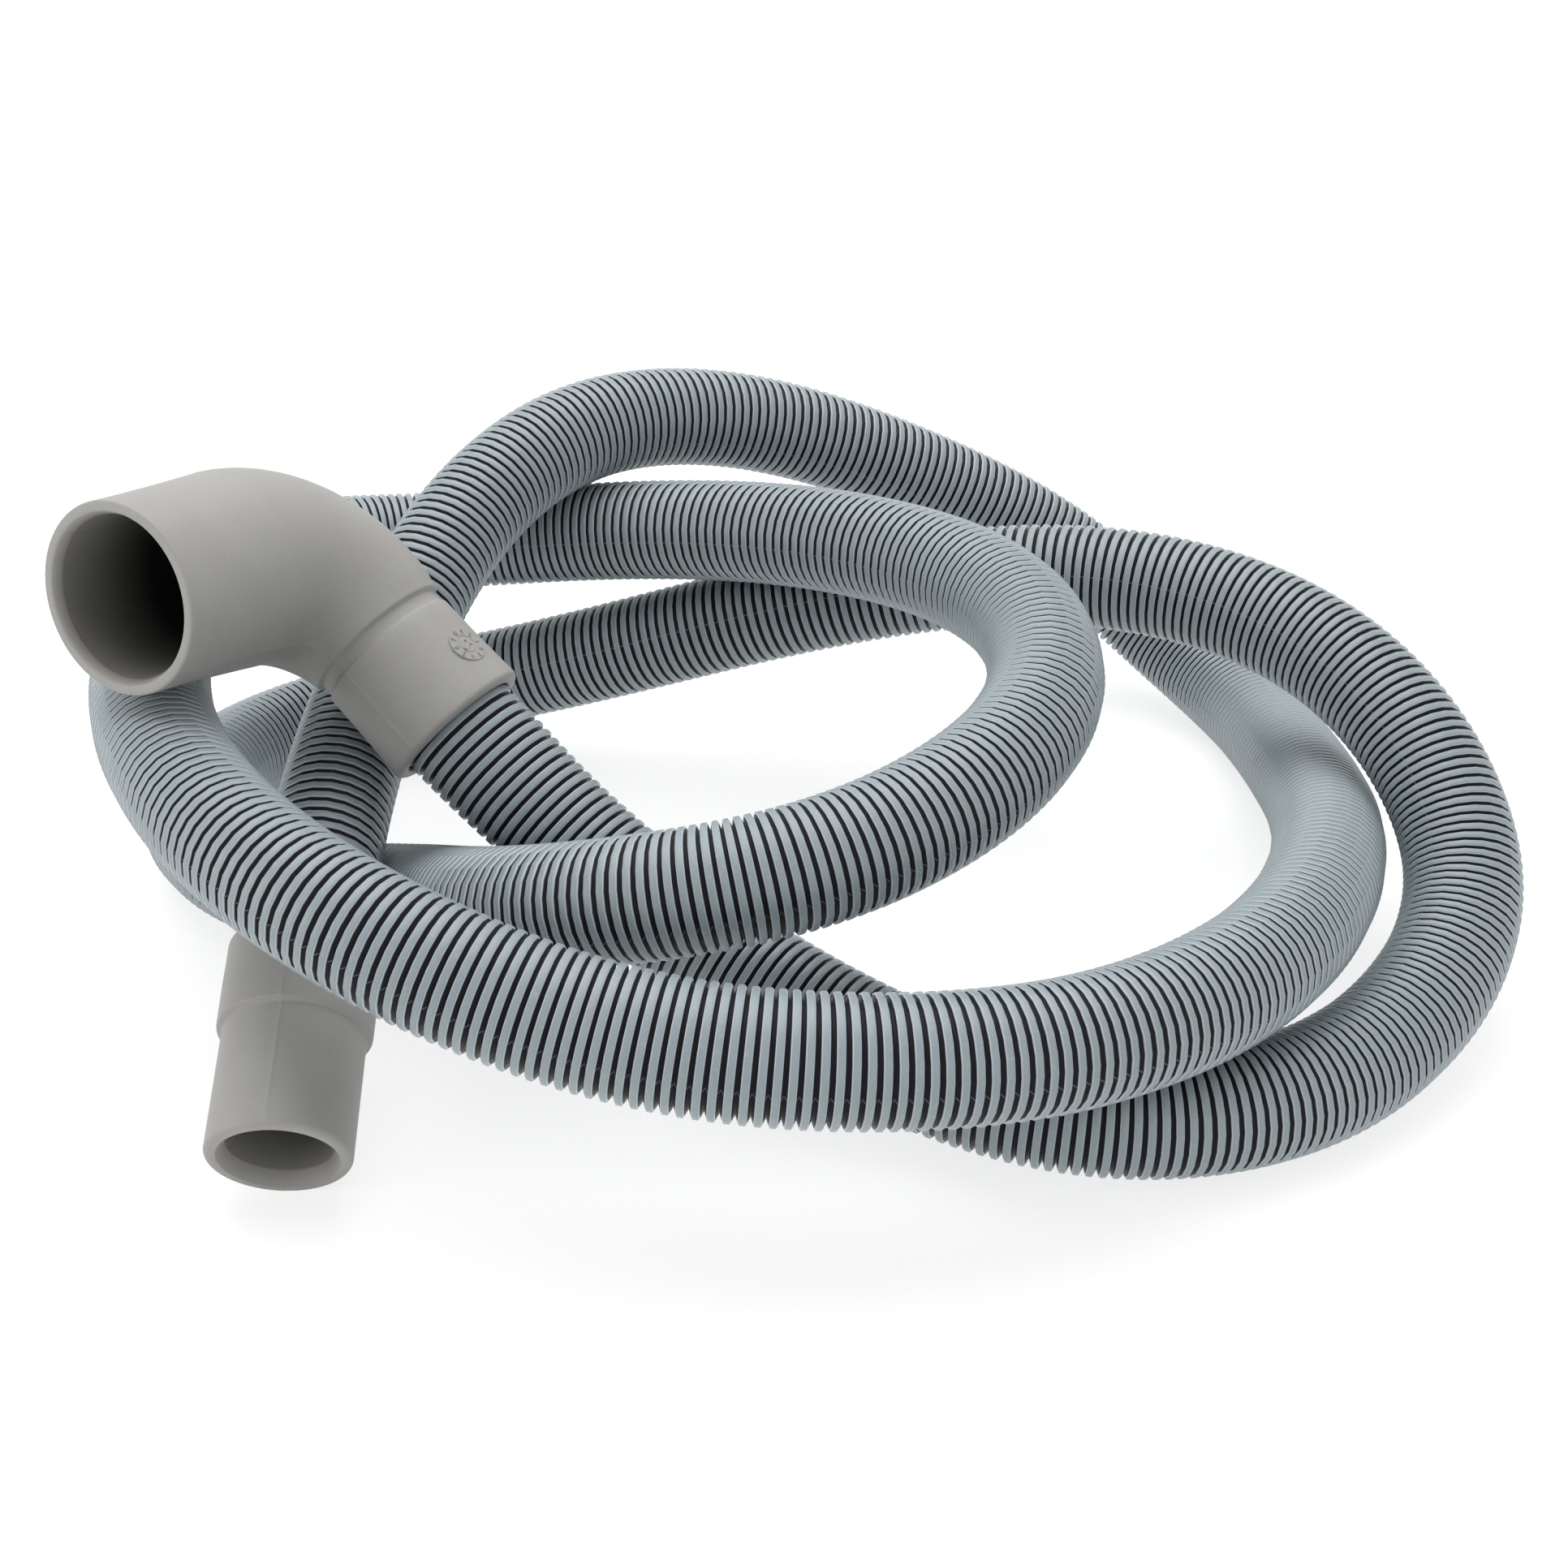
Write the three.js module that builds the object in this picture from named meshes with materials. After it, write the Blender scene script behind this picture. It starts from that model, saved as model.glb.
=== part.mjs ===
// A washing machine drain hose: one corrugated hose in three loose turns on the floor,
// with a right-angle rubber elbow on its first end and a straight rubber cuff on its last.
// Millimetres. +Z is up and the floor is z = 0. +X is the photo's right, +Y goes away from the viewer.
import * as THREE from "three";

const v3 = (x, y, z) => new THREE.Vector3(x, y, z);

const HOSE = { radius: 12.5, sides: 12, steps: 80 };
const FIT = 0.5; // room between the hose and the bores that grip it
const GAP = 0.3; // room between the hose's end faces and the shoulders they meet

// The route of the hose's centre line, from the elbow's groove to the cuff's inner shoulder.
// Each row is x, y and the height above a run that lies on the floor, whose centre is at FLOOR_RUN.
const FLOOR_RUN = 12.8;
const BACK = 1.5; // puts the origin under the middle of the two connectors
const ROUTE = [
  [16, 34, 66], [48, 16, 36], [88, -7, 11], [140, -40, 0], [186, -46, 1],
  [226, -20, -2], [254, 15, 13], [245, 52, 38], [218, 88, 51], [169, 112, 52],
  [108, 120, 39], [48, 131, 16], [-5, 142, 0], [-43, 114, -1], [-48, 70, 4],
  [-20, 38, 0], [25, 25, 8], [38, -13, 29], [72, -34, 44], [119, -26, 49],
  [160, 15, 57], [157, 62, 66], [113, 105, 63], [59, 135, 52], [8, 139, 46],
  [-29, 118, 54], [-42, 75, 59], [-34, 20, 57], [-9, -26, 57], [23, -52, 49],
  [67, -62, 33], [112, -67, 30], [161, -57, 27], [203, -21, 24], [226, 34, 17],
  [231, 90, 4], [229, 139, -3], [207, 169, 7], [178, 180, 31], [134, 176, 54],
  [88, 163, 74], [47, 139, 80], [20, 103, 66], [5, 60, 41], [2.8, 13, 29],
  [4, -29.3, 10.5],
].map(([x, y, z]) => v3(x, y + BACK, z + FLOOR_RUN));

// A uniform cubic B-spline that starts at its first point and ends at its last.
class HoseRoute extends THREE.Curve {
  constructor(points) {
    super();
    const last = points.length - 1;
    const beyond = (end, before) => end.clone().multiplyScalar(2).sub(before);
    this.points = [beyond(points[0], points[1]), ...points, beyond(points[last], points[last - 1])];
    this.arcLengthDivisions = 20 * last;
  }

  getPoint(t, target = new THREE.Vector3()) {
    const spans = this.points.length - 3;
    const place = Math.min(Math.max(t, 0) * spans, spans - 1e-9);
    const i = Math.floor(place);
    const q = place - i;
    const weights = [(1 - q) ** 3, 3 * q ** 3 - 6 * q ** 2 + 4, -3 * q ** 3 + 3 * q ** 2 + 3 * q + 1, q ** 3];
    target.set(0, 0, 0);
    weights.forEach((weight, k) => target.addScaledVector(this.points[i + k], weight / 6));
    return target;
  }
}

const route = new HoseRoute(ROUTE);
const START = ROUTE[0];
const START_DIR = ROUTE[1].clone().sub(START).normalize();
const END = ROUTE[ROUTE.length - 1];
const END_DIR = END.clone().sub(ROUTE[ROUTE.length - 2]).normalize();

function hoseGeometry() {
  const section = new THREE.Shape();
  for (let i = 0; i < HOSE.sides; i++) {
    const turn = (2 * Math.PI * i) / HOSE.sides;
    const at = [HOSE.radius * Math.cos(turn), HOSE.radius * Math.sin(turn)];
    if (i === 0) section.moveTo(...at);
    else section.lineTo(...at);
  }
  section.closePath();
  return new THREE.ExtrudeGeometry(section, { steps: HOSE.steps, curveSegments: 1, extrudePath: route });
}

const ELBOW = {
  sides: 28,
  cornerToHose: 27, // from the corner of the two axes to the hose's end, in the groove
  cornerToMouth: 52,
  bendRadius: 24,
  bendSteps: 7,
  mouthDir: v3(-0.473, -0.865, 0.168), // from the corner out through the mouth
  mouthRadius: 19.1,
  bendOuter: 20.4,
  neckRadius: 16.6,
  grooveRadius: 15.3,
  grooveHalf: 1.7,
  sleeveRadius: 16,
  sleeveEndRadius: 16.7,
  sleeveLength: 24, // from the middle of the groove to the lip
  mouthBore: 16.2,
  socketDepth: 25,
  bendBore: 15,
  hoseBore: 10.5,
  rim: 2,
};

// The elbow's own centre line: straight in from the mouth, round the bend and straight down the sleeve.
function elbowAxis() {
  const out = ELBOW.mouthDir.clone().normalize();
  const first = out.clone().negate();
  const turn = Math.acos(first.dot(START_DIR));
  const side = START_DIR.clone().addScaledVector(first, -Math.cos(turn)).normalize();
  const across = first.clone().cross(START_DIR).normalize();
  const corner = START.clone().addScaledVector(START_DIR, -ELBOW.cornerToHose);
  const reach = ELBOW.bendRadius * Math.tan(turn / 2);
  const bendStart = ELBOW.cornerToMouth - reach;
  const bendEnd = bendStart + ELBOW.bendRadius * turn;
  const groove = bendEnd + ELBOW.cornerToHose - reach;
  const mouth = corner.clone().addScaledVector(out, ELBOW.cornerToMouth);
  const frame = (s) => {
    const angle = THREE.MathUtils.clamp((s - bendStart) / ELBOW.bendRadius, 0, turn);
    const dir = first.clone().multiplyScalar(Math.cos(angle)).addScaledVector(side, Math.sin(angle));
    const centre = mouth.clone().addScaledVector(first, Math.min(s, bendStart));
    centre.addScaledVector(first, ELBOW.bendRadius * Math.sin(angle));
    centre.addScaledVector(side, ELBOW.bendRadius * (1 - Math.cos(angle)));
    centre.addScaledVector(dir, Math.max(s - bendEnd, 0));
    return { centre, across, up: across.clone().cross(dir) };
  };
  return { frame, bendStart, bendEnd, groove };
}

// A closed skin round a bent axis: each profile point is a distance along the axis and a radius,
// and the profile closes on itself.
function ringSkin(frame, profile, sides) {
  const at = [];
  for (const [s, r] of profile) {
    const { centre, across, up } = frame(s);
    for (let i = 0; i < sides; i++) {
      const turn = (2 * Math.PI * i) / sides;
      const p = centre.clone().addScaledVector(across, r * Math.cos(turn)).addScaledVector(up, r * Math.sin(turn));
      at.push(p.x, p.y, p.z);
    }
  }
  const faces = [];
  for (let k = 0; k < profile.length; k++) {
    const next = (k + 1) % profile.length;
    for (let i = 0; i < sides; i++) {
      const j = (i + 1) % sides;
      const [a, b, c, d] = [k * sides + i, k * sides + j, next * sides + j, next * sides + i];
      faces.push(a, c, b, a, d, c);
    }
  }
  const geometry = new THREE.BufferGeometry();
  geometry.setAttribute("position", new THREE.Float32BufferAttribute(at, 3));
  geometry.setIndex(faces);
  return geometry;
}

function elbowGeometry() {
  const e = ELBOW;
  const { frame, bendStart, bendEnd, groove } = elbowAxis();
  const lip = groove + e.sleeveLength;
  const bend = (from, to) =>
    Array.from({ length: e.bendSteps + 1 }, (_, i) => {
      const share = i / e.bendSteps;
      return [bendStart + (bendEnd - bendStart) * share, from + (to - from) * share ** 2];
    });
  const outer = [
    [0, e.mouthBore + 1],
    [0, e.mouthRadius - 0.8],
    [0.8, e.mouthRadius],
    ...bend(e.bendOuter, e.neckRadius + 0.6),
    [groove - e.grooveHalf - 1.2, e.neckRadius],
    [groove - e.grooveHalf, e.neckRadius - 0.8],
    [groove - e.grooveHalf + 0.4, e.grooveRadius],
    [groove + e.grooveHalf - 0.4, e.grooveRadius],
    [groove + e.grooveHalf, e.sleeveRadius - 0.5],
    [groove + e.grooveHalf + 1, e.sleeveRadius],
    [lip - 2, e.sleeveEndRadius],
    [lip - 0.6, e.sleeveEndRadius - 0.6],
    [lip, e.sleeveEndRadius - 2],
  ];
  const grip = HOSE.radius + FIT;
  const inner = [
    [lip, grip + 1],
    [lip - 1.2, grip + 0.5],
    [groove - GAP, grip],
    [groove - GAP, e.hoseBore],
    ...bend(e.bendBore, e.hoseBore).reverse(),
    [e.socketDepth, e.mouthBore - 0.6],
    [e.rim, e.mouthBore],
  ];
  return ringSkin(frame, [...outer, ...inner], e.sides);
}

const CUFF = {
  sides: 32,
  spoutRadius: 14.1,
  spoutLength: 27.5, // from the hose's end to the mouth
  collarRadius: 15.4,
  collarLength: 19, // of the part that grips the hose
  shoulder: 2.2, // how far along the collar its rounded end runs
  bore: 10.3,
  mouthBore: 11.8,
  chamfer: 3,
};

function cuffGeometry() {
  const c = CUFF;
  const grip = HOSE.radius + FIT;
  const profile = [
    [c.mouthBore, c.spoutLength],
    [c.bore, c.spoutLength - c.chamfer],
    [c.bore, GAP],
    [grip, GAP],
    [grip + 0.7, -c.collarLength],
    [c.collarRadius - 1.6, -c.collarLength],
    [c.collarRadius - 0.5, -c.collarLength + 0.8],
    [c.collarRadius, -c.collarLength + c.shoulder],
    [c.collarRadius, -0.6],
    [c.collarRadius - 0.4, 0.4],
    [c.spoutRadius, 0.8],
    [c.spoutRadius, c.spoutLength - 1.8],
    [c.spoutRadius - 0.5, c.spoutLength - 0.6],
    [c.spoutRadius - 1.2, c.spoutLength],
    [c.mouthBore, c.spoutLength],
  ].map(([r, y]) => new THREE.Vector2(r, y));
  return new THREE.LatheGeometry(profile, c.sides);
}

function named(name, geometry) {
  const mesh = new THREE.Mesh(geometry);
  mesh.name = name;
  return mesh;
}

const root = new THREE.Group();
root.add(named("drain_hose", hoseGeometry()));
root.add(named("elbow_connector", elbowGeometry()));
const cuff = named("straight_cuff", cuffGeometry());
cuff.position.copy(END);
cuff.quaternion.setFromUnitVectors(v3(0, 1, 0), END_DIR);
root.add(cuff);

export default root;
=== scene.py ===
"""A washing machine drain hose in three loose turns, with a rubber elbow and a rubber cuff on its ends.

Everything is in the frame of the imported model: metres, z up, the floor at z = 0.
The sizes of the pieces are written in millimetres and turned into metres where meshes are made.
"""
import math

import bpy
import numpy as np
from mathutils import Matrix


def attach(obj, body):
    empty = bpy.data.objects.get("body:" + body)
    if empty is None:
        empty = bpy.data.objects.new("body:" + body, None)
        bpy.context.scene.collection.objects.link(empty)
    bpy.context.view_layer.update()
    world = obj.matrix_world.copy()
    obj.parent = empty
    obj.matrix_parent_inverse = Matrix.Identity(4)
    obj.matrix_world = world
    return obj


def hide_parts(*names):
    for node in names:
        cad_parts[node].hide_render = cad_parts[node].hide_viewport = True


MM = 0.001
LOWEST = 0.05  # the height above the floor that no point of a piece goes below

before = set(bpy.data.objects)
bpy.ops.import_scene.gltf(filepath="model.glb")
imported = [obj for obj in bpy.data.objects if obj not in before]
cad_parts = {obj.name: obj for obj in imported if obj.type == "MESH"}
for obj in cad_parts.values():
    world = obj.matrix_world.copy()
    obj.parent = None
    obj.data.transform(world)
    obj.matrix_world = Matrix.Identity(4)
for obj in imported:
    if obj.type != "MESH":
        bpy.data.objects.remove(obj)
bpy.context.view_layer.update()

# The camera stands at the photograph's viewpoint, 0.26 m above the floor, and looks 29 degrees down.
CAMERA = dict(
    place=(0.101, -0.3605, 0.2645),
    tilt=60.995,  # degrees up from looking straight down
    lens=47.195,
    film=36,
)

# The route of the hose's centre line: x, y and the height above a run that lies on the floor.
FLOOR_RUN = 12.8
BACK = 1.5  # puts the origin under the middle of the two connectors
ROUTE = [
    (16, 34, 66), (48, 16, 36), (88, -7, 11), (140, -40, 0), (186, -46, 1),
    (226, -20, -2), (254, 15, 13), (245, 52, 38), (218, 88, 51), (169, 112, 52),
    (108, 120, 39), (48, 131, 16), (-5, 142, 0), (-43, 114, -1), (-48, 70, 4),
    (-20, 38, 0), (25, 25, 8), (38, -13, 29), (72, -34, 44), (119, -26, 49),
    (160, 15, 57), (157, 62, 66), (113, 105, 63), (59, 135, 52), (8, 139, 46),
    (-29, 118, 54), (-42, 75, 59), (-34, 20, 57), (-9, -26, 57), (23, -52, 49),
    (67, -62, 33), (112, -67, 30), (161, -57, 27), (203, -21, 24), (226, 34, 17),
    (231, 90, 4), (229, 139, -3), (207, 169, 7), (178, 180, 31), (134, 176, 54),
    (88, 163, 74), (47, 139, 80), (20, 103, 66), (5, 60, 41), (2.8, 13, 29),
    (4, -29.3, 10.5),
]

HOSE = dict(
    radius=12.5,
    sides=21,
    pitch=2.62,  # from one rib to the next where the hose lies nearly straight
    squeeze=0.44,  # how much shorter the pitch gets in the tightest bends
    easy_bend=0.005,  # up to this bend, as 1 over its radius, the pitch stays whole
    hard_bend=0.013,  # this much more bend takes the whole squeeze
    bend_reach=15.0,  # how far along the hose a bend is felt
    unevenness=0.012,  # how far one rib's pitch strays from the next, as a share of it
    flat=0.5,  # half of a rib's flat top
    flat_share=(0.14, 0.22),  # the least and the most of its room that half may take
    flat_lean=7,  # degrees that the surface leans at the edge of the flat top
    edge=0.77,  # half of a rib where its rounded shoulders end
    edge_share=(0.22, 0.31),
    edge_lean=58,
    shoulder=0.36,  # how far the shoulders fall
    groove=1.75,  # depth of the grooves
    flare=0.9,  # the hose is this much larger in radius inside the elbow's sleeve
    flare_run=36,  # how far outside the sleeve it is back at its own radius
    wall=0.9,
    inside=34,  # how far in from each end the bore is modelled
    ripple=0.5,  # depth of the ripple in the bore
    ripple_step=1.25,  # from one of its crests to the next hollow
    seams=(3, 14),  # the sides of the section that the mould's two parting lines run along
)
# The five rings of a rib, from its middle as shares of its pitch: the edges of its flat top, the feet of its
# shoulders on either side of them, and the bottom of the groove that follows.
FLAT_RING, EDGE_RING, GROOVE_RING = 0.22, 0.34, 0.5
RIB_RINGS = np.array([-EDGE_RING, -FLAT_RING, FLAT_RING, EDGE_RING, GROOVE_RING])

ELBOW = dict(
    corner_to_hose=27,  # from the corner of the two axes to the hose's end, in the groove
    corner_to_mouth=52,
    bend_radius=24,
    mouth_dir=(-0.473, -0.865, 0.168),  # from the corner out through the mouth
    mouth_radius=19.1,
    bend_outer=20.4,
    neck=16.6,
    groove_radius=15.3,
    groove_half=1.7,
    sleeve=16,
    sleeve_end=16.7,
    sleeve_length=24,  # from the middle of the groove to the lip
    mouth_bore=16.2,
    socket_depth=25,
    bend_bore=15,
    hose_bore=10.5,
    rim=2,
    seam=0.16,  # height of the parting lines
    notch=0.4,  # depth of the notch in them where the bend begins
)

CUFF = dict(
    spout=14.1,
    spout_length=27.5,  # from the hose's end to the mouth
    collar=15.4,
    collar_length=19,
    bore=10.3,
    mouth_bore=11.8,
    chamfer=3,
    seam=0.12,
)

GRIP_ROOM = 0.12  # between the hose's ribs and the bores that grip it

# The two parting lines of a rubber moulding, in degrees round it.
SEAMS = (90, 270)
SEAM_STEPS = (-1.7, -0.8, 0.0, 0.8, 1.7)  # degrees from a line to the points that draw it
SEAM_CLEAR = 2.2  # degrees on either side of a line that no other point comes into

DIAL = dict(
    along=13.5,  # from the groove to the dial's middle
    turn=180,  # degrees round the sleeve
    radius=4.25,
    face=0.16,  # how far its face stands proud of the sleeve
    flatten=0.016,  # its face rises by this, times the distance round the sleeve squared, and so bends less
    hub=2.15,  # radius of the line round the arrow
    hub_line=0.05,  # height of the bottom of that line
    line_top=0.16,  # half of its width at the top
    line_bottom=0.1,  # and at the bottom
    edge=0.1,  # how far in from its rim the face is lowered
    arrow_foot=0.1,
    arrow_top=0.42,
    numerals=3.2,  # radius of the ring of numerals
    numeral_size=1.75,
    numeral_half=0.12,  # half of a numeral's thickness
    numeral_middle=0.22,  # height of the middle of that thickness
    first_numeral=118,  # degrees from the sleeve's direction to the 0, and to the arrow's point
    points=56,
)
# The arrow's outline from the dial's middle: towards its point and to the left of it.
ARROW = [(-2.0, -0.42), (0.5, -0.42), (0.5, -0.95), (2.05, 0.0), (0.5, 0.95), (0.5, 0.42), (-2.0, 0.42)]

# The studio's soft lamps, in metres and watts.
SOFTBOXES = {
    "overhead_softbox": dict(spot=(0.0, 0.35, 1.1), target=(0.1, 0.05, 0), size=1.1, power=9.5),
    "left_softbox": dict(spot=(-0.75, -0.4, 0.35), target=(0.1, 0.05, 0.03), size=0.6, power=2.2),
    "front_softbox": dict(spot=(0.45, -0.8, 0.3), target=(0.1, 0.05, 0.03), size=0.5, power=0.9),
}
FLOOR_CORNERS = [(-4, -4, 0), (4, -4, 0), (4, 6, 0), (-4, 6, 0)]


def place_in_scene(name, data):
    thing = bpy.data.objects.new(name, data)
    bpy.context.scene.collection.objects.link(thing)
    return thing


def photograph_camera():
    camera = place_in_scene("camera", bpy.data.cameras.new("camera"))
    camera.data.lens = CAMERA["lens"]
    camera.data.sensor_width = CAMERA["film"]
    camera.data.sensor_fit = "HORIZONTAL"
    camera.data.clip_start = 0.01
    camera.location = CAMERA["place"]
    camera.rotation_euler = (math.radians(CAMERA["tilt"]), 0, 0)
    bpy.context.scene.camera = camera


def linear(hex_value):
    """An sRGB hex value as Blender's linear colour."""
    shares = [int(hex_value[i : i + 2], 16) / 255 for i in (1, 3, 5)]
    return [c / 12.92 if c <= 0.04045 else ((c + 0.055) / 1.055) ** 2.4 for c in shares] + [1.0]


def node(tree, kind, inputs=(), **settings):
    """Adds a node. inputs maps an input's name or number to a value, or to what it is linked from.

    That is an output, or a node, which stands for its first output in use.
    """
    made = tree.nodes.new(kind)
    for name, value in settings.items():
        setattr(made, name, value)
    for name, value in dict(inputs).items():
        if isinstance(value, bpy.types.Node):
            value = next(output for output in value.outputs if not output.is_unavailable)
        if isinstance(value, bpy.types.NodeSocket):
            tree.links.new(value, made.inputs[name])
        else:
            made.inputs[name].default_value = value
    return made


def empty_material(name):
    """A material and its node tree, with nothing in it yet."""
    material = bpy.data.materials.new(name)
    material.use_nodes = True
    material.node_tree.nodes.clear()
    return material, material.node_tree


def mesh_piece(name, points, faces, material, cad_node=None):
    """A smooth mesh from points in millimetres, riding on the object's one body."""
    points = np.array(points, float)
    points[:, 2] = np.maximum(points[:, 2], LOWEST)
    mesh = bpy.data.meshes.new(name)
    mesh.from_pydata((points * MM).tolist(), [], faces)
    mesh.update()
    mesh.polygons.foreach_set("use_smooth", [True] * len(mesh.polygons))
    mesh.materials.append(material)
    piece = place_in_scene(name, mesh)
    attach(piece, "root")
    if cad_node:
        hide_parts(cad_node)
    return piece


def point_values(piece, name, values):
    """Gives each point of a piece a number that its material reads."""
    piece.data.attributes.new(name, "FLOAT", "POINT").data.foreach_set("value", values)


def ring_faces(first, second, sides):
    """The faces between two rings of points, whose first points are these."""
    ring = np.arange(sides)
    after = (ring + 1) % sides
    return np.stack([first + ring, first + after, second + after, second + ring], axis=1)


def unit(vector):
    vector = np.asarray(vector, float)
    return vector / np.linalg.norm(vector, axis=-1, keepdims=True)


class Run:
    """The hose's centre line: a uniform cubic B-spline, with its length and frames that don't twist."""

    def __init__(self, points, steps=120):
        points = np.array(points, float) + [0, BACK, FLOOR_RUN]
        knots = np.vstack([2 * points[0] - points[1], points, 2 * points[-1] - points[-2]])
        spans = len(points) - 1
        place = np.linspace(0, spans, spans * steps + 1)
        first = np.minimum(place.astype(int), spans - 1)
        q = place - first
        bases = [
            ((1 - q) ** 3, 3 * q**3 - 6 * q**2 + 4, -3 * q**3 + 3 * q**2 + 3 * q + 1, q**3),
            (-3 * (1 - q) ** 2, 9 * q**2 - 12 * q, -9 * q**2 + 6 * q + 3, 3 * q**2),
        ]
        self.centre, slope = [
            sum(weight[:, None] * knots[first + k] for k, weight in enumerate(base)) / 6 for base in bases
        ]
        self.along = unit(slope)
        steps_mm = np.linalg.norm(np.diff(self.centre, axis=0), axis=1)
        self.s = np.concatenate([[0], np.cumsum(steps_mm)])
        self.length = self.s[-1]
        self.bend = np.gradient(self.along, self.s, axis=0)
        side = unit(np.cross(self.along[0], [0, 0, 1]))
        sides = [side]
        for direction in self.along[1:]:
            side = side - direction * (side @ direction)
            side = side / np.linalg.norm(side)
            sides.append(side)
        self.side = np.array(sides)

    def at(self, s):
        """Centre, direction, two cross directions and the bend vector at the distances s."""

        def pick(rows):
            return np.stack([np.interp(s, self.s, rows[:, k]) for k in range(3)], axis=-1)

        along = unit(pick(self.along))
        side = pick(self.side)
        side = unit(side - along * (side * along).sum(-1, keepdims=True))
        beyond = np.clip(s - self.length, 0, None) + np.clip(s, None, 0)
        centre = pick(self.centre) + along * beyond[:, None]
        return centre, along, side, np.cross(along, side), pick(self.bend)


run = Run(ROUTE)
START, END = run.centre[0], run.centre[-1]
START_DIR, END_DIR = run.along[0], run.along[-1]


def rib_places():
    """The middle of each rib, and its pitch.

    The pitch is a little shorter where the hose bends tightly, as it is when the hose is pushed round.
    """
    chance = np.random.default_rng(5)
    curve = np.linalg.norm(run.bend, axis=1)
    grid = np.arange(0, run.length, 2.0)  # the bend changes slowly, so every 2 mm is enough
    reach = HOSE["bend_reach"]
    soft = np.array([np.average(curve, weights=np.exp(-(((run.s - g) / reach) ** 2) / 2)) for g in grid])
    middles, pitches, s = [], [], 0.0
    while s < run.length:
        tight = np.clip((np.interp(s, grid, soft) - HOSE["easy_bend"]) / HOSE["hard_bend"], 0, 1)
        pitch = HOSE["pitch"] - HOSE["squeeze"] * tight
        pitch *= 1 + HOSE["unevenness"] * chance.standard_normal()
        middles.append(s + pitch / 2)
        pitches.append(pitch)
        s += pitch
    scale = run.length / s
    return np.array(middles) * scale, np.array(pitches) * scale


def hose_radius(s):
    """The ribs' radius along the hose: larger inside the elbow's sleeve, and normal a little way out."""
    share = np.clip((s - ELBOW["sleeve_length"]) / HOSE["flare_run"], 0, 1)
    return HOSE["radius"] + HOSE["flare"] * (1 - share * share * (3 - 2 * share))


def directions(turn, side, up):
    """For each place along the hose, the directions out of its centre at the angles of turn."""
    return np.cos(turn)[None, :, None] * side[:, None] + np.sin(turn)[None, :, None] * up[:, None]


def hose_bore(end, inward, turn):
    """The rings of the bore from one end inwards, with a shallow ripple, and the directions out to them."""
    steps = np.arange(0, HOSE["inside"], HOSE["ripple_step"])
    s = end + inward * steps
    centre, _, side, up, _ = run.at(s)
    bore = hose_radius(s) - HOSE["groove"] - HOSE["wall"]
    bore = bore + HOSE["ripple"] * (np.arange(len(steps)) % 2)
    out = directions(turn, side, up)
    return centre[:, None] + bore[:, None, None] * out, out


def corrugated_hose(material):
    """The whole hose, with ribs of flat tops and rounded shoulders.

    The ribs keep their width round a bend, and the grooves between them open and close.
    """
    sides = HOSE["sides"]
    middles, pitches = rib_places()
    s = (middles[:, None] + pitches[:, None] * RIB_RINGS).ravel()
    s = np.minimum(s, run.length)
    count = len(s)
    pitch = np.repeat(pitches, len(RIB_RINGS))[:, None]
    share = np.tile(RIB_RINGS, len(middles))[:, None]
    on_flat, on_edge, hand = np.abs(share) == FLAT_RING, np.abs(share) == EDGE_RING, np.sign(share)
    centre, along, side, up, bend = run.at(s)
    turn = np.arange(sides) * 2 * np.pi / sides
    out = directions(turn, side, up)
    low = np.select([on_flat, on_edge], [0.0, HOSE["shoulder"]], HOSE["groove"])
    radius = hose_radius(s)[:, None] - low
    room = pitch * (1 - radius * np.einsum("nj,nsj->ns", bend, out))
    flat = np.clip(HOSE["flat"] / room, *HOSE["flat_share"])
    edge = np.clip(HOSE["edge"] / room, *HOSE["edge_share"])
    wanted = np.select([on_flat, on_edge], [hand * flat, hand * edge], GROOVE_RING)
    rings = centre[:, None] + radius[..., None] * out + ((wanted - share) * room)[..., None] * along[:, None]
    lean = np.radians(np.select([on_flat, on_edge], [hand * HOSE["flat_lean"], hand * HOSE["edge_lean"]], 0))
    facing = np.cos(lean)[..., None] * out + np.sin(lean)[..., None] * along[:, None]
    depth = np.repeat(low[:, 0] / HOSE["groove"], sides)

    points, normals = [rings.reshape(-1, 3)], [facing.reshape(-1, 3)]
    faces = []
    for k in range(count - 1):
        faces += ring_faces(k * sides, (k + 1) * sides, sides).tolist()

    # The bore is made for as far as anyone can see into either end, and closed there.
    total = count * sides
    for end_ring, end, inward in ((0, 0.0, 1), (count - 1, run.length, -1)):
        bore, bore_out = hose_bore(end, inward, turn)
        starts = [end_ring * sides, *range(total, total + len(bore) * sides, sides)]
        for first, second in zip(starts, starts[1:]):
            faces += ring_faces(first, second, sides)[:, ::-inward].tolist()
        faces.append((starts[-1] + np.arange(sides))[::-inward].tolist())
        points.append(bore.reshape(-1, 3))
        normals.append(-bore_out.reshape(-1, 3))
        total += len(bore) * sides
    # The bore's points take the grooves' full painted shade.
    depth = np.concatenate([depth, np.ones(total - len(depth))])

    piece = mesh_piece("corrugated_hose", np.vstack(points), faces, material, "drain_hose")
    piece.data.normals_split_custom_set_from_vertices(np.vstack(normals).tolist())
    point_values(piece, "groove_depth", depth)
    seam = np.zeros(total)
    for line in HOSE["seams"]:
        seam[line : count * sides : sides] = 1
    point_values(piece, "mould_line", seam)


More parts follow.
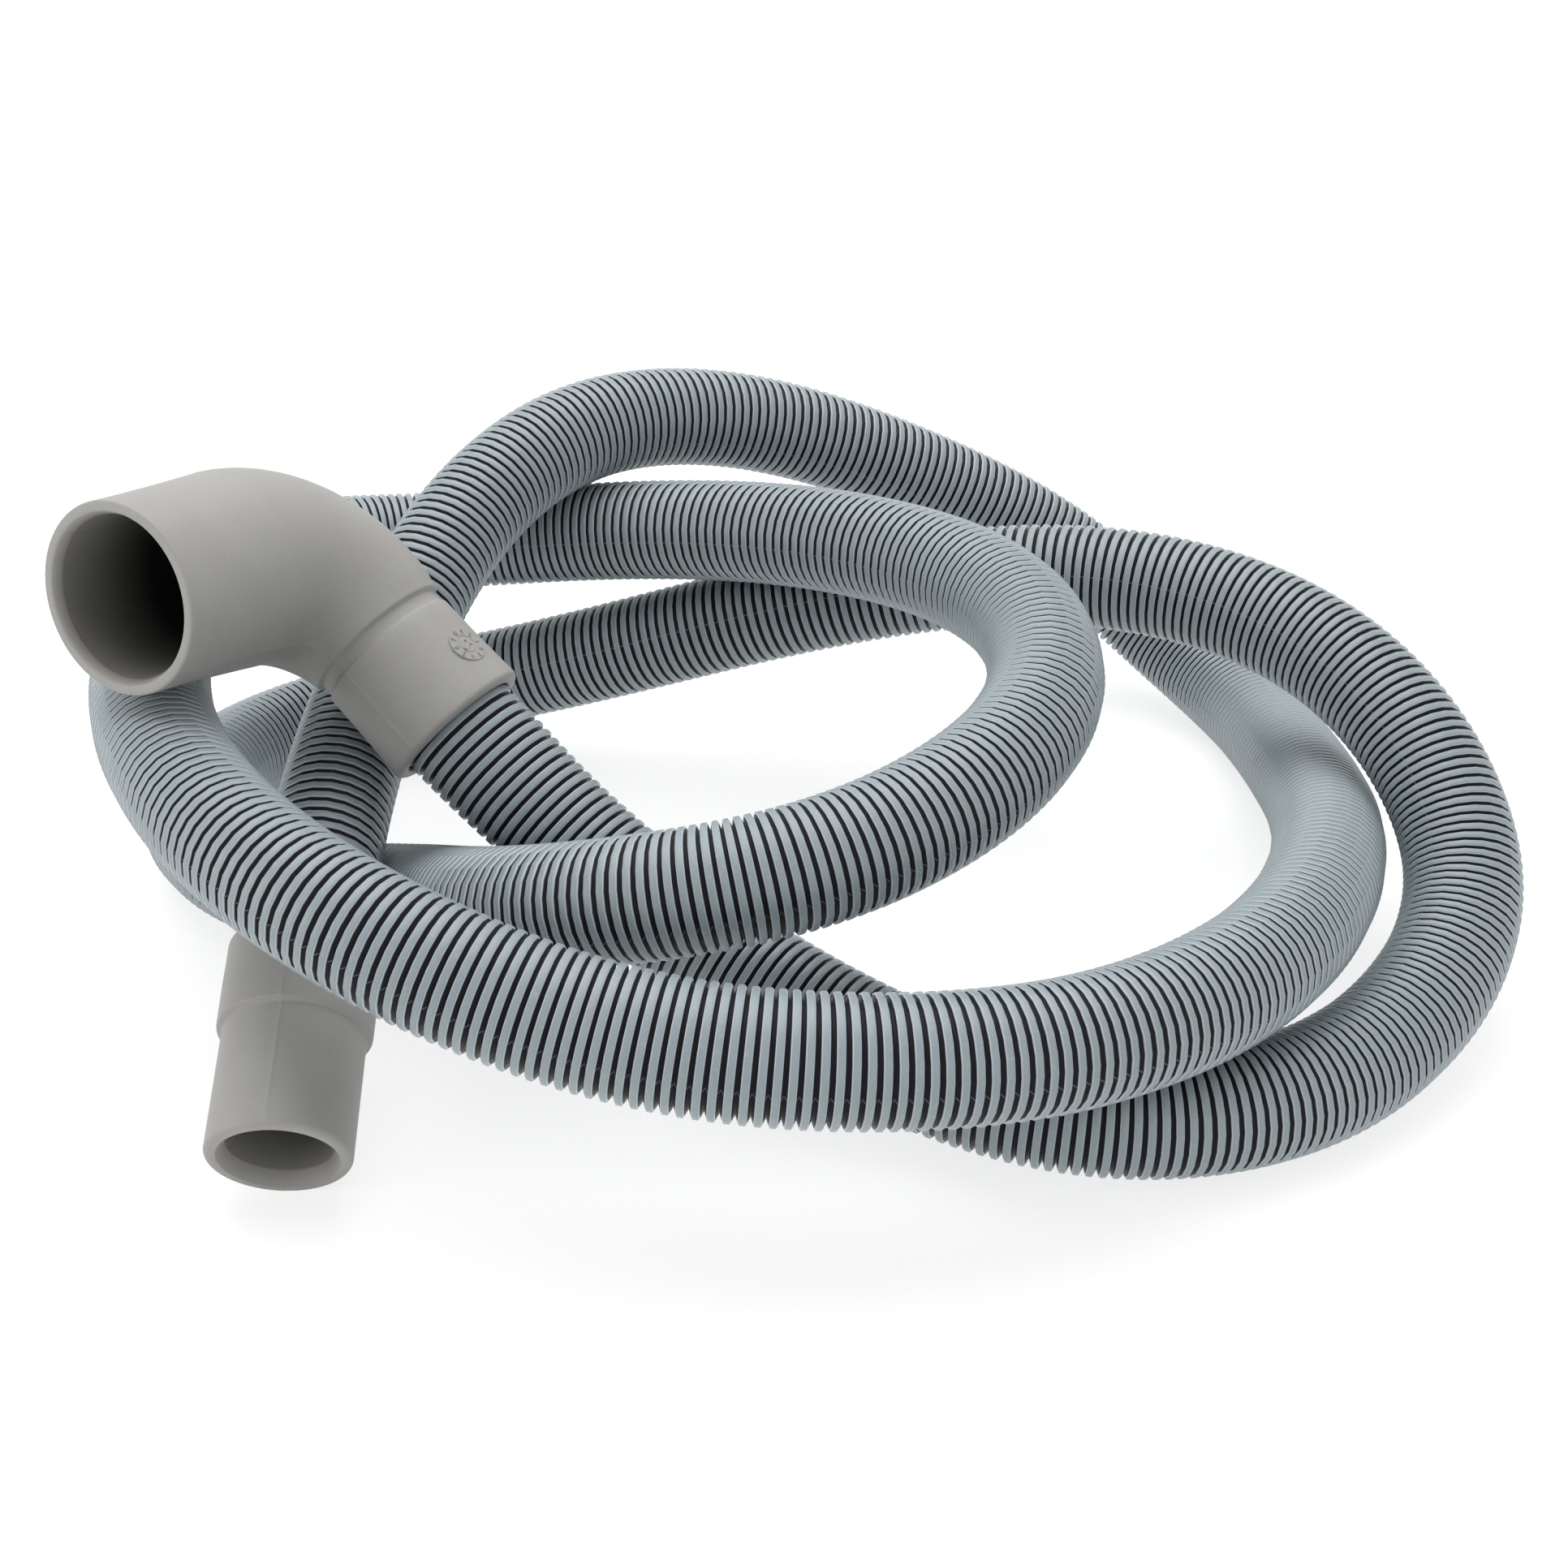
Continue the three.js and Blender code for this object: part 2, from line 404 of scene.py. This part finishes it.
def rounded(corners, step=0.25):
    """A profile of (along, radius, fillet) corners, each rounded to its fillet radius, if it has one."""
    made = []
    count = len(corners)
    for k in range(count):
        here = np.array(corners[k][:2], float)
        fillet = corners[k][2] if len(corners[k]) > 2 else 0
        before = np.array(corners[k - 1][:2], float) - here
        after = np.array(corners[(k + 1) % count][:2], float) - here
        if not fillet:
            made.append(here)
            continue
        a, b = unit(before), unit(after)
        half = math.acos(np.clip(a @ b, -1, 1)) / 2
        back = fillet / math.tan(half)
        room = 0.49 * min(np.linalg.norm(before), np.linalg.norm(after))
        if back > room:
            back, fillet = room, room * math.tan(half)
        middle = here + unit(a + b) * fillet / math.sin(half)
        sweep = math.pi - 2 * half
        pieces = max(2, round(sweep * fillet / step))
        start = here + a * back - middle
        finish = here + b * back - middle
        for i in range(pieces + 1):
            share = i / pieces
            mix = math.sin((1 - share) * sweep) * start + math.sin(share * sweep) * finish
            made.append(middle + mix / math.sin(sweep))
    return made


def revolved(name, place, profile, turns, material, cad_node, lift, inside):
    """A closed skin: each profile point is a distance along a bent axis and a radius.

    lift raises it by angle, and inside tells how far into a bore a point lies, from 0 outside to 1 well in.
    """
    rings = []
    for s, r in profile:
        centre, across, up = place(s)
        reach = r + lift(s, r, turns)
        out = np.cos(turns)[:, None] * across + np.sin(turns)[:, None] * up
        rings.append(centre + reach[:, None] * out)
    sides = len(turns)
    faces = []
    for k in range(len(profile)):
        faces += ring_faces(k * sides, (k + 1) % len(profile) * sides, sides)[:, ::-1].tolist()
    piece = mesh_piece(name, np.vstack(rings), faces, material, cad_node)
    point_values(piece, "bore_depth", np.repeat([inside(s, r) for s, r in profile], sides))


def seamed_turns(sides):
    """Even angles round a moulding, with a few close ones at each parting line."""
    angles = {round(360 * k / sides, 4) for k in range(sides)}
    for seam in SEAMS:
        angles = {a for a in angles if abs((a - seam + 180) % 360 - 180) > SEAM_CLEAR}
        angles |= {round((seam + step) % 360, 4) for step in SEAM_STEPS}
    return np.radians(sorted(angles))


def from_seam(angles):
    """How far each angle is from the nearest parting line, in degrees."""
    return np.min([np.abs(np.degrees(angles) - seam) for seam in SEAMS], axis=0)


def parting_lines(angles, height):
    """The height of the parting lines, where the mould's two halves met, and half of it beside them."""
    near = from_seam(angles)
    return np.where(near < 0.1, height, np.where(near < 1, height / 2, 0))


class ElbowAxis:
    """The elbow's own centre line: straight in from the mouth, round the bend and down the sleeve."""

    def __init__(self):
        e = ELBOW
        self.out = unit(e["mouth_dir"])
        self.first = -self.out
        self.turn = math.acos(self.first @ START_DIR)
        self.side = unit(START_DIR - self.first * math.cos(self.turn))
        self.across = unit(np.cross(self.first, START_DIR))
        corner = START - START_DIR * e["corner_to_hose"]
        reach = e["bend_radius"] * math.tan(self.turn / 2)
        self.bend_start = e["corner_to_mouth"] - reach
        self.bend_end = self.bend_start + e["bend_radius"] * self.turn
        self.groove = self.bend_end + e["corner_to_hose"] - reach
        self.mouth = corner + self.out * e["corner_to_mouth"]

    def place(self, s):
        """The centre at a distance from the mouth, and the two cross directions there."""
        radius = ELBOW["bend_radius"]
        angle = min(max((s - self.bend_start) / radius, 0), self.turn)
        along = self.first * math.cos(angle) + self.side * math.sin(angle)
        centre = self.mouth + self.first * (min(s, self.bend_start) + radius * math.sin(angle))
        centre = centre + self.side * radius * (1 - math.cos(angle)) + along * max(s - self.bend_end, 0)
        return centre, self.across, np.cross(self.across, along)


def sleeve_radius(distance):
    """The sleeve's outer radius at a distance from the middle of the groove: it grows a little to its lip."""
    e = ELBOW
    return e["sleeve"] + (e["sleeve_end"] - e["sleeve"]) * (distance / e["sleeve_length"]) ** 2


def rubber_elbow(axis, material):
    e = ELBOW
    groove, lip = axis.groove, axis.groove + e["sleeve_length"]
    grip = HOSE["radius"] + HOSE["flare"] + GRIP_ROOM
    half = e["groove_half"]
    beyond_grip = 14.2  # between the radius of the sleeve's bore and that of its outside
    mould_joint = axis.bend_start - 0.4  # a fine line round the elbow, where its bend begins

    def bend(start, finish, steps=26):
        share = np.linspace(0, 1, steps + 1)
        s = axis.bend_start + (axis.bend_end - axis.bend_start) * share
        return list(zip(s, start + (finish - start) * share**2))

    def socket_radius(s):
        return e["mouth_radius"] + (e["bend_outer"] - e["mouth_radius"]) * (s / axis.bend_start) ** 1.5

    outer = [
        (0, e["mouth_bore"] + 0.9, 0.6),
        (0, e["mouth_radius"], 0.6),
        *[(s, socket_radius(s)) for s in np.linspace(4, axis.bend_start - 1.2, 12)],
        (axis.bend_start - 0.9, e["bend_outer"] - 0.04),
        (mould_joint, e["bend_outer"] - 0.1),
        *bend(e["bend_outer"], e["neck"] + 0.6),
        (groove - half - 1.4, e["neck"], 0.4),
        (groove - half - 0.1, e["neck"] - 0.2, 0.5),
        (groove - half + 0.5, e["groove_radius"], 0.35),
        (groove + half - 0.5, e["groove_radius"], 0.35),
        (groove + half + 0.1, e["sleeve"] - 0.05, 0.7),
        *[(s, sleeve_radius(s - groove)) for s in np.linspace(groove + half + 3, lip - 3.2, 10)],
        (lip, e["sleeve_end"], 1.6),
        (lip, grip + 0.2, 0.7),
    ]
    inner = [
        (lip - 1.2, grip, 0),
        (groove + 0.3, grip, 0.4),
        (groove - 0.3, e["hose_bore"], 0.8),
        *bend(e["bend_bore"], e["hose_bore"])[::-1],
        (e["socket_depth"], e["mouth_bore"] - 0.6, 3),
        (e["rim"], e["mouth_bore"], 0.6),
    ]

    def lift(s, r, angles):
        """Parting lines, but not in the sleeve's bore or on the lips, with a notch at the mould joint."""
        if abs(s - mould_joint) < 0.2:
            return np.where(from_seam(angles) < 2, -e["notch"], 0)
        return parting_lines(angles, e["seam"]) * (r > beyond_grip and 1 < s < lip - 1)

    def inside(s, r):
        """Well in begins 3.5 mm from the mouth, and 1.5 mm from the sleeve's lip."""
        in_socket = r < e["mouth_bore"] + 0.15 and s < groove - 6
        return np.clip(min((s - 1) / 2.5, (lip - s) / 1.5), 0, 1) * (r < beyond_grip or in_socket)

    profile = rounded(outer + inner)
    revolved("rubber_elbow", axis.place, profile, seamed_turns(72), material, "elbow_connector", lift, inside)


def date_dial(axis, material):
    """The generic date dial that the mould leaves on the sleeve: a low disc, numerals 0 to 9 and an arrow."""
    points, faces = [], []

    def add(flat_points, heights, new_faces):
        """flat_points lie on the dial's face: millimetres along the sleeve and round it, from its middle."""
        first = len(points)
        for (x, y), height in zip(flat_points, heights):
            s = axis.groove + DIAL["along"] + x
            angle = math.radians(DIAL["turn"]) + y / ELBOW["sleeve"]
            centre, across, up = axis.place(s)
            reach = sleeve_radius(s - axis.groove) + height + DIAL["flatten"] * y * y
            points.append(centre + reach * (math.cos(angle) * across + math.sin(angle) * up))
        faces.extend([[first + i for i in face] for face in new_faces])

    def disc():
        """A low disc with a fine line round its hub, and its foot sunk into the sleeve."""
        around = np.linspace(0, 2 * np.pi, DIAL["points"], endpoint=False)
        count = len(around)
        face, line, hub, radius = DIAL["face"], DIAL["hub_line"], DIAL["hub"], DIAL["radius"]
        top, bottom = DIAL["line_top"], DIAL["line_bottom"]
        profile = [
            (0.001, face), (hub - top, face), (hub - bottom, line), (hub + bottom, line),
            (hub + top, face), (radius - DIAL["edge"], face), (radius, face / 2), (radius + 0.05, -0.5),
        ]
        rows = [(r * math.cos(t), r * math.sin(t)) for r, _ in profile for t in around]
        heights = [height for _, height in profile for _ in around]
        last = (len(profile) - 1) * count
        quads = []
        for ring in range(0, last, count):
            quads += ring_faces(ring + count, ring, count).tolist()
        add(rows, heights, [*quads, range(count), range(last + count - 1, last - 1, -1)])

    def raised(outline, low, high, slope=0.05):
        """A flat-topped bar over an outline, which goes round anticlockwise."""
        outline = np.array(outline, float)
        middle = outline.mean(axis=0)
        n = len(outline)
        top = outline + (middle - outline) * slope
        walls = [(i, (i + 1) % n, n + (i + 1) % n, n + i) for i in range(n)]
        add([*outline, *top], [low] * n + [high] * n, [*walls, range(n, 2 * n), range(n - 1, -1, -1)])

    def numeral(digit, place):
        """One raised numeral, whose foot points at the dial's middle."""
        writing = bpy.data.curves.new("numeral", "FONT")
        writing.body = str(digit)
        writing.size = DIAL["numeral_size"]
        writing.align_x, writing.align_y = "CENTER", "CENTER"
        writing.extrude = DIAL["numeral_half"]
        writing.resolution_u = 3
        holder = bpy.data.objects.new("numeral", writing)
        drawn = holder.to_mesh()
        spin = place - math.pi / 2
        flat_points = [
            (
                DIAL["numerals"] * math.cos(place) + v.co.x * math.cos(spin) - v.co.y * math.sin(spin),
                DIAL["numerals"] * math.sin(place) + v.co.x * math.sin(spin) + v.co.y * math.cos(spin),
            )
            for v in drawn.vertices
        ]
        heights = [DIAL["numeral_middle"] + v.co.z for v in drawn.vertices]
        add(flat_points, heights, [list(p.vertices) for p in drawn.polygons])
        holder.to_mesh_clear()
        bpy.data.objects.remove(holder)
        bpy.data.curves.remove(writing)

    disc()
    lean = math.radians(DIAL["first_numeral"])
    cos, sin = math.cos(lean), math.sin(lean)
    arrow = [(x * cos - y * sin, x * sin + y * cos) for x, y in ARROW]
    raised(arrow, DIAL["arrow_foot"], DIAL["arrow_top"])
    for digit in range(10):
        numeral(digit, lean - 2 * math.pi * digit / 10)

    piece = mesh_piece("date_dial", points, faces, material)
    piece.data.polygons.foreach_set("use_smooth", [False] * len(piece.data.polygons))


def rubber_cuff(material):
    c = CUFF
    grip = HOSE["radius"] + GRIP_ROOM
    across = unit(np.cross(END_DIR, [0, 0, 1]))
    up = np.cross(across, END_DIR)

    def place(s):
        return END + END_DIR * s, across, up

    profile = [
        (c["spout_length"], c["mouth_bore"], 0.2),
        (c["spout_length"] - c["chamfer"], c["bore"], 0.8),
        (0.2, c["bore"], 0.5),
        (0.2, grip, 0.4),
        (-c["collar_length"] + 1, grip + 0.1, 0),
        (-c["collar_length"], grip + 0.5, 0.6),
        (-c["collar_length"], c["collar"], 2.0),
        *[(s, c["collar"] - 0.1 * abs(s + 9) / 9) for s in (-13, -9, -5)],
        (0.3, c["collar"] - 0.1, 0.9),
        (0.9, c["spout"] + 0.05, 0.5),
        *[(s, c["spout"]) for s in (5, 9, 13, 17, 21)],
        (c["spout_length"], c["spout"], 1.8),
    ]

    def lift(s, r, angles):
        """Parting lines on the outside, but for the lips."""
        on_outside = r > 13.6 and -c["collar_length"] + 1 < s < c["spout_length"] - 1.4
        return parting_lines(angles, c["seam"]) * on_outside

    def inside(s, r):
        """Well in begins 6 mm from the mouth, and 1.5 mm from the collar's lip."""
        in_bore = r < c["mouth_bore"] + 0.5 if s > 0.5 else r < grip + 0.58
        return np.clip(min((c["spout_length"] - 2 - s) / 4, (s + c["collar_length"]) / 1.5), 0, 1) * in_bore

    profile = rounded(profile)[::-1]
    revolved("rubber_cuff", place, profile, seamed_turns(64), material, "straight_cuff", lift, inside)


def blown_polypropylene():
    """Blow-moulded polypropylene: a satin blue-grey skin, with painted shade that turns the grooves near
    black, and a lower sheen there.
    """
    material, tree = empty_material("blown_polypropylene")
    place = node(tree, "ShaderNodeTexCoord").outputs["Object"]
    # From 0 on a rib's top, over 0.21 at the foot of its shoulders, to 1 at the bottom of a groove.
    depth = node(tree, "ShaderNodeAttribute", attribute_name="groove_depth").outputs["Fac"]
    # Slow drifts in the pigment, 40 mm long.
    drift = node(
        tree,
        "ShaderNodeTexNoise",
        {"Vector": place, "Scale": 1 / (40 * MM), "Detail": 3.0, "Roughness": 0.55},
    )
    skin = node(
        tree,
        "ShaderNodeMix",
        {"Factor": drift, "A": linear("#87949A"), "B": linear("#97A2A6")},
        data_type="RGBA",
    )
    # Dust and scuffs on the rib tops, 0.9 to a millimetre, which is coarser than real dust so that it shows.
    dust = node(
        tree, "ShaderNodeTexNoise", {"Vector": place, "Scale": 0.9 / MM, "Detail": 4.0, "Roughness": 0.6}
    )
    spots = node(
        tree, "ShaderNodeMapRange", {"Value": dust, "From Min": 0.55, "From Max": 0.75, "To Max": 0.35}
    )
    worn = node(
        tree,
        "ShaderNodeMix",
        {"Factor": spots, "A": skin, "B": linear("#B4B8B6")},
        data_type="RGBA",
    )
    # Painted highlight: the ribs' rounded shoulders are painted paler than their tops.
    shoulder_highlight = node(
        tree, "ShaderNodeMapRange", {"Value": depth, "From Min": 0.03, "From Max": 0.15, "To Max": 0.7}
    )
    with_shoulder_highlight = node(
        tree,
        "ShaderNodeMix",
        {"Factor": shoulder_highlight, "A": worn, "B": linear("#CBD3D5")},
        data_type="RGBA",
    )
    # The mould's parting lines show as a paler tick across each groove, where the painted groove shade is a
    # fifth weaker.
    line = node(tree, "ShaderNodeAttribute", attribute_name="mould_line").outputs["Fac"]
    tick = node(tree, "ShaderNodeMapRange", {"Value": line, "From Min": 0.93, "From Max": 0.97})
    shade = node(tree, "ShaderNodeMapRange", {"Value": tick, "To Min": 1.0, "To Max": 0.8})
    # Painted shade: the grooves are turned towards near black with their depth, where the light doesn't
    # reach.
    painted_groove_shade = node(
        tree, "ShaderNodeMapRange", {"Value": depth, "From Min": 0.21, "From Max": 0.3, "To Max": 0.97}
    )
    painted_shade = node(tree, "ShaderNodeMath", {0: painted_groove_shade, 1: shade}, operation="MULTIPLY")
    colour = node(
        tree,
        "ShaderNodeMix",
        {"Factor": painted_shade, "A": with_shoulder_highlight, "B": linear("#0D0F12")},
        data_type="RGBA",
    )
    # The painted shade also lowers the grooves' specular level.
    sheen = node(tree, "ShaderNodeMapRange", {"Value": painted_shade, "To Min": 0.5, "To Max": 0.06})
    rough = node(
        tree,
        "ShaderNodeMapRange",
        {"Value": dust, "From Min": 0.3, "From Max": 0.7, "To Min": 0.31, "To Max": 0.43},
    )
    grain = node(tree, "ShaderNodeBump", {"Height": dust, "Strength": 0.12, "Distance": 0.12 * MM})
    shader = node(
        tree,
        "ShaderNodeBsdfPrincipled",
        {"Base Color": colour, "Roughness": rough, "Normal": grain, "IOR": 1.49, "Specular IOR Level": sheen},
    )
    node(tree, "ShaderNodeOutputMaterial", {"Surface": shader})
    return material


def moulded_rubber():
    """Injection-moulded thermoplastic rubber: warm grey and matt, with a fine texture and pale specks."""
    material, tree = empty_material("moulded_rubber")
    place = node(tree, "ShaderNodeTexCoord").outputs["Object"]
    # Cloudy marks about 14 mm long.
    cloud = node(
        tree, "ShaderNodeTexNoise", {"Vector": place, "Scale": 0.07 / MM, "Detail": 5.0, "Roughness": 0.6}
    )
    body = node(
        tree,
        "ShaderNodeMix",
        {"Factor": cloud, "A": linear("#97948F"), "B": linear("#A6A5A2")},
        data_type="RGBA",
    )
    # Pale specks, 1.4 to a millimetre.
    speck = node(
        tree, "ShaderNodeTexNoise", {"Vector": place, "Scale": 1.4 / MM, "Detail": 3.0, "Roughness": 0.7}
    )
    dots = node(
        tree, "ShaderNodeMapRange", {"Value": speck, "From Min": 0.66, "From Max": 0.74, "To Max": 0.5}
    )
    marked = node(
        tree,
        "ShaderNodeMix",
        {"Factor": dots, "A": body, "B": linear("#C2C0BC")},
        data_type="RGBA",
    )
    # Painted shade: far into the bores the rubber is painted near black, where light doesn't reach, and its
    # sheen is lowered there.
    bore = node(tree, "ShaderNodeAttribute", attribute_name="bore_depth").outputs["Fac"]
    painted_bore_shade = node(tree, "ShaderNodeMapRange", {"Value": bore, "To Max": 0.95})
    colour = node(
        tree,
        "ShaderNodeMix",
        {"Factor": painted_bore_shade, "A": marked, "B": linear("#121010")},
        data_type="RGBA",
    )
    sheen = node(tree, "ShaderNodeMapRange", {"Value": bore, "To Min": 0.5, "To Max": 0.06})
    rough = node(
        tree,
        "ShaderNodeMapRange",
        {"Value": cloud, "From Min": 0.3, "From Max": 0.7, "To Min": 0.5, "To Max": 0.62},
    )
    # The mould's texture, 2.2 grains to a millimetre, which is coarser than the real one so that it shows.
    fine = node(tree, "ShaderNodeTexNoise", {"Vector": place, "Scale": 2.2 / MM, "Detail": 2.0})
    grain = node(tree, "ShaderNodeBump", {"Height": fine, "Strength": 0.15, "Distance": 0.1 * MM})
    shader = node(
        tree,
        "ShaderNodeBsdfPrincipled",
        {"Base Color": colour, "Roughness": rough, "Normal": grain, "IOR": 1.48, "Specular IOR Level": sheen},
    )
    node(tree, "ShaderNodeOutputMaterial", {"Surface": shader})
    return material


def seen_share(tree):
    """1 for rays that show the background: from the camera, in a reflection or through a clear piece."""
    rays = node(tree, "ShaderNodeLightPath").outputs
    direct = node(
        tree, "ShaderNodeMath", {0: rays["Is Camera Ray"], 1: rays["Is Glossy Ray"]}, operation="MAXIMUM"
    )
    return node(tree, "ShaderNodeMath", {0: direct, 1: rays["Is Transmission Ray"]}, operation="MAXIMUM")


def white_surround():
    """A world that looks white, and lights the object as a tent does that glows from above and behind."""
    world = bpy.data.worlds.new("studio")
    bpy.context.scene.world = world
    world.use_nodes = True
    tree = world.node_tree
    tree.nodes.clear()
    # The tent is dim in front, where the camera looks in.
    ray = node(tree, "ShaderNodeTexCoord").outputs["Generated"]
    around = node(tree, "ShaderNodeSeparateXYZ", {0: ray}).outputs
    height = node(tree, "ShaderNodeMath", {0: around["Z"], 1: 0.6}, operation="MULTIPLY")
    behind = node(tree, "ShaderNodeMath", {0: around["Y"], 1: 0.6, 2: height}, operation="MULTIPLY_ADD")
    glow = node(
        tree,
        "ShaderNodeMapRange",
        {"Value": behind, "From Min": -0.2, "From Max": 0.6, "To Min": 0.2, "To Max": 0.9},
    )
    light = node(tree, "ShaderNodeBackground", {"Color": (0.98, 0.99, 1.0, 1), "Strength": glow})
    white = node(tree, "ShaderNodeBackground", {"Color": (1, 1, 1, 1), "Strength": 1.0})
    both = node(tree, "ShaderNodeMixShader", {0: seen_share(tree), 1: light, 2: white})
    node(tree, "ShaderNodeOutputWorld", {"Surface": both})


def white_floor():
    """A matt white board, lit a little from below, which looks white but for the object's soft shadow."""
    paint, tree = empty_material("white_floor")
    board = node(tree, "ShaderNodeBsdfDiffuse", {"Color": (0.8, 0.8, 0.8, 1)})
    bounce = node(tree, "ShaderNodeEmission", {"Color": (1, 1, 1, 1), "Strength": 0.2})
    plain = node(tree, "ShaderNodeAddShader", {0: board, 1: bounce})
    # What shows of it is mostly its own glow, so that it stays white and the shadow on it is soft.
    shaded = node(tree, "ShaderNodeBsdfDiffuse", {"Color": (0.34, 0.34, 0.34, 1)})
    glow = node(tree, "ShaderNodeEmission", {"Color": (1, 1, 1, 1), "Strength": 0.76})
    seen = node(tree, "ShaderNodeAddShader", {0: shaded, 1: glow})
    both = node(tree, "ShaderNodeMixShader", {0: seen_share(tree), 1: plain, 2: seen})
    node(tree, "ShaderNodeOutputMaterial", {"Surface": both})

    mesh = bpy.data.meshes.new("studio_floor")
    mesh.from_pydata(FLOOR_CORNERS, [], [(0, 1, 2, 3)])
    mesh.materials.append(paint)
    place_in_scene("studio_floor", mesh)


def softboxes():
    for name, box in SOFTBOXES.items():
        lamp = bpy.data.lights.new(name, "AREA")
        lamp.size = box["size"]
        lamp.energy = box["power"]
        stand = place_in_scene(name, lamp)
        stand.location = box["spot"]
        aim = np.array(box["target"]) - np.array(box["spot"])
        down = math.acos(-aim[2] / np.linalg.norm(aim))
        stand.rotation_euler = (down, 0, math.atan2(aim[1], aim[0]) - math.pi / 2)


photograph_camera()
white_surround()
white_floor()
softboxes()
hose_skin = blown_polypropylene()
rubber = moulded_rubber()
corrugated_hose(hose_skin)
elbow_axis = ElbowAxis()
rubber_elbow(elbow_axis, rubber)
date_dial(elbow_axis, rubber)
rubber_cuff(rubber)

bpy.context.scene.view_settings.view_transform = "Standard"
